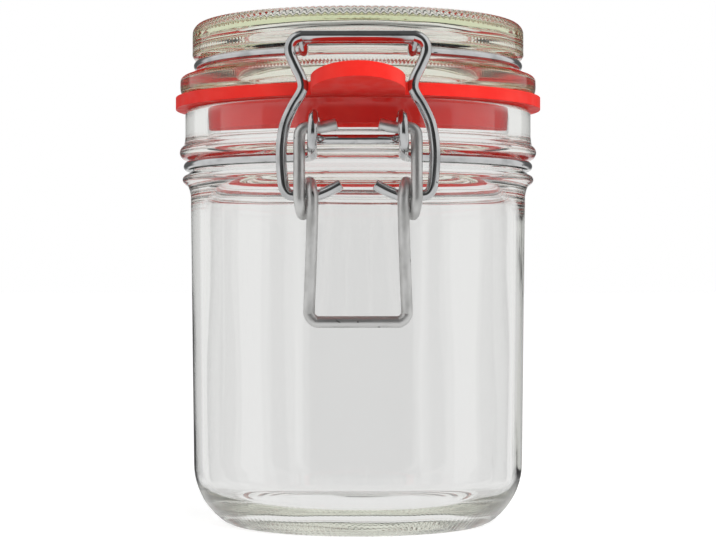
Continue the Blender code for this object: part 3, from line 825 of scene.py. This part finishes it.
def bail_path():
    foot_front, foot = BAIL_PIVOT
    top_front, top = BAIL_TOP
    lean = (top_front - foot_front) / (top - foot)
    outline = [(0.0034, 0.0718), (0.0054, 0.0707), (0.0073, 0.06985), (0.0084, foot), (0.0106, foot),
               (0.0127, foot), (0.0138, 0.0698), (0.0146, 0.0707), (0.0150, 0.0724), (0.0153, 0.0765),
               (0.0152, 0.0800), (0.0145, 0.0838), (0.0130, 0.0872), (0.0114, 0.0898), (0.01095, 0.0913),
               (0.0113, 0.0929), (0.0124, 0.0952), (0.0134, 0.0976), (0.0135, 0.0991), (0.0128, 0.1004),
               (0.0115, 0.1011), (0.0100, top), (0.0, top)]
    half = smooth_path([(across, foot_front + lean * (up - foot), up) for across, up in outline])
    return mirrored(half[::-1])


bail_bm = swept_wire(bail_path(), BAIL_WIRE)
finish_piece(bail_bm, "bail_wire", bright_wire_finish, "bail", "bail", WIRE_SHARP_ANGLE)

# %% [markdown]
# ## The floor
#
# The jar stands on a plain white table. To the camera it glows a little, the way a lit acrylic sheet
# does, so that only a faint shadow stays round the foot. What it throws up at the rubber is its own
# white alone, or the underside of the tab would be as bright as its edge. Glass and wire don't mirror
# this table: its far edge would draw a hard line across them, so they see the studio's table below.

# %% Lay the floor
FLOOR_HALF_SIZE = 12.0
FLOOR_DROP = 0.00005
FLOOR_WHITE = 0.80
FLOOR_ROUGHNESS, FLOOR_SHINE = 0.9, 0.1
FLOOR_GLOW = 0.62


def make_floor():
    made, tree, shader = new_finish("white table")
    shader.inputs["Base Color"].default_value = (FLOOR_WHITE, FLOOR_WHITE, FLOOR_WHITE, 1.0)
    shader.inputs["Roughness"].default_value = FLOOR_ROUGHNESS
    shader.inputs["Specular IOR Level"].default_value = FLOOR_SHINE
    shader.inputs["Emission Color"].default_value = (1.0, 1.0, 1.0, 1.0)
    rays = add_node(tree, "ShaderNodeLightPath").outputs
    seen = calculate(tree, "MULTIPLY", rays["Is Camera Ray"], FLOOR_GLOW)
    tree.links.new(seen, shader.inputs["Emission Strength"])
    bm = bmesh.new()
    bmesh.ops.create_grid(bm, x_segments=1, y_segments=1, size=FLOOR_HALF_SIZE)
    bmesh.ops.translate(bm, verts=bm.verts, vec=(0.0, 0.0, -FLOOR_DROP))
    mesh = bpy.data.meshes.new("floor")
    bm.to_mesh(mesh)
    bm.free()
    mesh.materials.append(made)
    floor = bpy.data.objects.new("floor", mesh)
    bpy.context.scene.collection.objects.link(floor)
    floor.visible_glossy = False
    floor.visible_transmission = False
    return floor


print("made", make_floor().name)

# %% [markdown]
# ## The studio
#
# Glass and bright wire show the room. The room here is the world: two long soft panels stand left and
# right, a dark ceiling hangs over the jar, and between the panels it is dark, which shows as the grey
# strip down the middle of the jar. Two more dark gaps at the back give glass and wire their outline.
# Below lies the white table. Light that comes straight through the glass sees a white backdrop all
# round. Where the glass has also reflected it inside, it finds a dark front and a few dark slats, which
# draw the thin lines near the jar's edges. The front light doesn't shine through glass, so what falls
# through it on the dull rubber comes from a room that is simply bright.

# %% Build the studio in the world
PANEL_BRIGHTNESS = 0.80
PANEL_LEFT, PANEL_RIGHT = -33.0, 42.0
PANEL_TOP = 64.0
PANEL_SIDE_SOFTNESS, PANEL_TOP_SOFTNESS = 1.5, 4.0
REAR_GAP, REAR_GAP_DARKNESS, REAR_GAP_SOFTNESS = (138.0, 168.0), 0.9, 3.0
TABLE_EDGE, TABLE_SOFTNESS = -10.0, 4.0
ROOM_DARK, CEILING_GREY, GREY_FADE = 0.04, 0.07, (10.0, 24.0)
LAMP_THROUGH_GLASS = 1.1
BACKDROP = 0.80
SLATS = (60.0, 120.0)
SLAT_HALF_WIDTH = 10.0
FRONT_HALF_WIDTH = 44.0
BACKDROP_SOFTNESS = 1.5
CEILING, CEILING_SHADE = (38.0, 50.0), 0.55


def edge_of(tree, value, place, soft, before=0.0, after=1.0):
    """A soft step at one place, fading from before to after over soft on both sides of it."""
    return ramp_between(tree, value, place - soft, place + soft, before, after)


def band(tree, value, low, high, soft):
    """1 between low and high, with a soft edge on both sides."""
    rising = edge_of(tree, value, low, soft)
    falling = edge_of(tree, value, high, soft, 1.0, 0.0)
    return calculate(tree, "MULTIPLY", rising, falling)


def direction_angles(tree):
    """Azimuth, 0 towards the camera and positive to its right, and elevation, in degrees."""
    way = add_node(tree, "ShaderNodeTexCoord").outputs["Generated"]
    parts = add_node(tree, "ShaderNodeSeparateXYZ", {0: way}).outputs
    to_camera = calculate(tree, "MULTIPLY", parts[1], -1.0)
    azimuth = calculate(tree, "ARCTAN2", parts[0], to_camera)
    elevation = calculate(tree, "ARCSINE", parts[2])
    return calculate(tree, "DEGREES", azimuth), calculate(tree, "DEGREES", elevation)


def mirrored_room(tree, azimuth, elevation):
    """Brightness of the room as surfaces mirror it."""
    left = edge_of(tree, azimuth, PANEL_LEFT, PANEL_SIDE_SOFTNESS, 1.0, 0.0)
    right = edge_of(tree, azimuth, PANEL_RIGHT, PANEL_SIDE_SOFTNESS)
    height = edge_of(tree, elevation, PANEL_TOP, PANEL_TOP_SOFTNESS, 1.0, 0.0)
    gaps = band(tree, calculate(tree, "ABSOLUTE", azimuth), *REAR_GAP, REAR_GAP_SOFTNESS)
    height = calculate(tree, "SUBTRACT", height, calculate(tree, "MULTIPLY", gaps, REAR_GAP_DARKNESS))
    height = calculate(tree, "MAXIMUM", height, 0.0)
    panels = calculate(tree, "MULTIPLY", calculate(tree, "ADD", left, right), height)
    table = edge_of(tree, elevation, TABLE_EDGE, TABLE_SOFTNESS, 1.0, 0.0)
    lit = calculate(tree, "MULTIPLY", calculate(tree, "MAXIMUM", panels, table), PANEL_BRIGHTNESS)
    dark = ramp_between(tree, elevation, *GREY_FADE, ROOM_DARK, ROOM_DARK + CEILING_GREY)
    return calculate(tree, "ADD", lit, dark)


def seen_through_room(tree, azimuth, elevation, rays):
    """Brightness of the backdrop as it is seen through the glass.

    Only light that the glass has also reflected finds the slats and the dark front, so that no view
    straight through the glass is dark.
    """
    around = calculate(tree, "ABSOLUTE", azimuth)
    shade = edge_of(tree, around, FRONT_HALF_WIDTH, BACKDROP_SOFTNESS, 1.0, 0.0)
    for slat in SLATS:
        dark = band(tree, around, slat - SLAT_HALF_WIDTH, slat + SLAT_HALF_WIDTH, BACKDROP_SOFTNESS)
        shade = calculate(tree, "ADD", shade, dark)
    shade = calculate(tree, "MULTIPLY", shade, calculate(tree, "MINIMUM", rays["Glossy Depth"], 1.0))
    above_table = edge_of(tree, elevation, TABLE_EDGE, TABLE_SOFTNESS)
    shade = calculate(tree, "MULTIPLY", shade, above_table)
    shade = calculate(tree, "MAXIMUM", shade, ramp_between(tree, elevation, *CEILING, 0.0, CEILING_SHADE))
    open_share = calculate(tree, "SUBTRACT", 1.0, calculate(tree, "MULTIPLY", shade, 1.0 - ROOM_DARK))
    return calculate(tree, "MULTIPLY", open_share, BACKDROP)


def build_studio():
    world = bpy.data.worlds.new("studio")
    bpy.context.scene.world = world
    world.use_nodes = True
    tree = world.node_tree
    azimuth, elevation = direction_angles(tree)
    rays = add_node(tree, "ShaderNodeLightPath").outputs
    lighting = calculate(tree, "MINIMUM", rays["Diffuse Depth"], 1.0)
    backdrop = seen_through_room(tree, azimuth, elevation, rays)
    through = add_node(tree, "ShaderNodeMix", {0: lighting, 2: backdrop, 3: LAMP_THROUGH_GLASS})
    room = add_node(tree, "ShaderNodeMix", {0: rays["Is Transmission Ray"],
                                            2: mirrored_room(tree, azimuth, elevation),
                                            3: through.outputs[0]})
    seen = add_node(tree, "ShaderNodeMix", {0: rays["Is Camera Ray"], 2: room.outputs[0], 3: 1.0})
    sky = tree.nodes["Background"]
    tree.links.new(seen.outputs[0], sky.inputs["Color"])
    return world


print("made", build_studio().name)

# %% [markdown]
# ## The front light
#
# A large soft light stands behind the camera, above it and to its right. It lights the rubber and the
# table, which are dull. Glass and wire don't mirror it, because the photograph shows no lamp in them.

# %% Hang the front light
FRONT_LIGHT_PLACE = (0.45, -1.0, 0.75)
FRONT_LIGHT_SIZE, FRONT_LIGHT_WATTS = 0.8, 9.5


def hang_front_light():
    data = bpy.data.lights.new("front light", "AREA")
    data.size = FRONT_LIGHT_SIZE
    data.energy = FRONT_LIGHT_WATTS
    light = bpy.data.objects.new("front light", data)
    light.location = FRONT_LIGHT_PLACE
    towards_jar = Vector((0.0, AXIS_Y, RIM_HEIGHT)) - light.location
    light.rotation_euler = towards_jar.to_track_quat("-Z", "Y").to_euler()
    light.visible_glossy = False
    light.visible_transmission = False
    bpy.context.scene.collection.objects.link(light)
    return light


print("made", hang_front_light().name, FRONT_LIGHT_WATTS, "W")

# %% [markdown]
# ## The camera
#
# The photograph was taken from close to the table with a long lens, level with the middle of the jar
# and a little under half a metre away: the lid's top can't be seen and the rings are nearly straight
# lines. A tilt of under half a degree puts the jar as high in the picture as it is there.

# %% Place the camera
CAMERA_DISTANCE, CAMERA_HEIGHT = 0.450, 0.0517
FOCAL_PIXELS, PICTURE_WIDTH, HORIZON_BELOW_MIDDLE = 2050.0, 716.0, 15.0
SENSOR_WIDTH = 36.0


def place_camera():
    data = bpy.data.cameras.new("camera")
    data.sensor_width = SENSOR_WIDTH
    data.lens = SENSOR_WIDTH * FOCAL_PIXELS / PICTURE_WIDTH
    data.clip_start, data.clip_end = 0.01, 50.0
    camera = bpy.data.objects.new("camera", data)
    tilt = math.atan(HORIZON_BELOW_MIDDLE / FOCAL_PIXELS)
    camera.location = (0.0, AXIS_Y - CAMERA_DISTANCE, CAMERA_HEIGHT)
    camera.rotation_euler = (math.radians(90) + tilt, 0.0, 0.0)
    bpy.context.scene.collection.objects.link(camera)
    bpy.context.scene.camera = camera
    return camera


print("lens", round(place_camera().data.lens, 1), "mm")

# %% [markdown]
# ## Light through many walls
#
# A ray through the neck also crosses the lid's plug, which makes eight surfaces or more, so it needs
# more bounces than Blender's default, or the glass turns black where the walls overlap. The picture
# uses the plain Standard transform, because the photograph's whites are pure white.

# %% Let light through, and set the transform
scene = bpy.context.scene
scene.cycles.max_bounces = 32
scene.cycles.transmission_bounces = 32
scene.cycles.glossy_bounces = 12
scene.cycles.diffuse_bounces = 4
scene.cycles.transparent_max_bounces = 16
scene.view_settings.view_transform = "Standard"
scene.view_settings.look = "None"
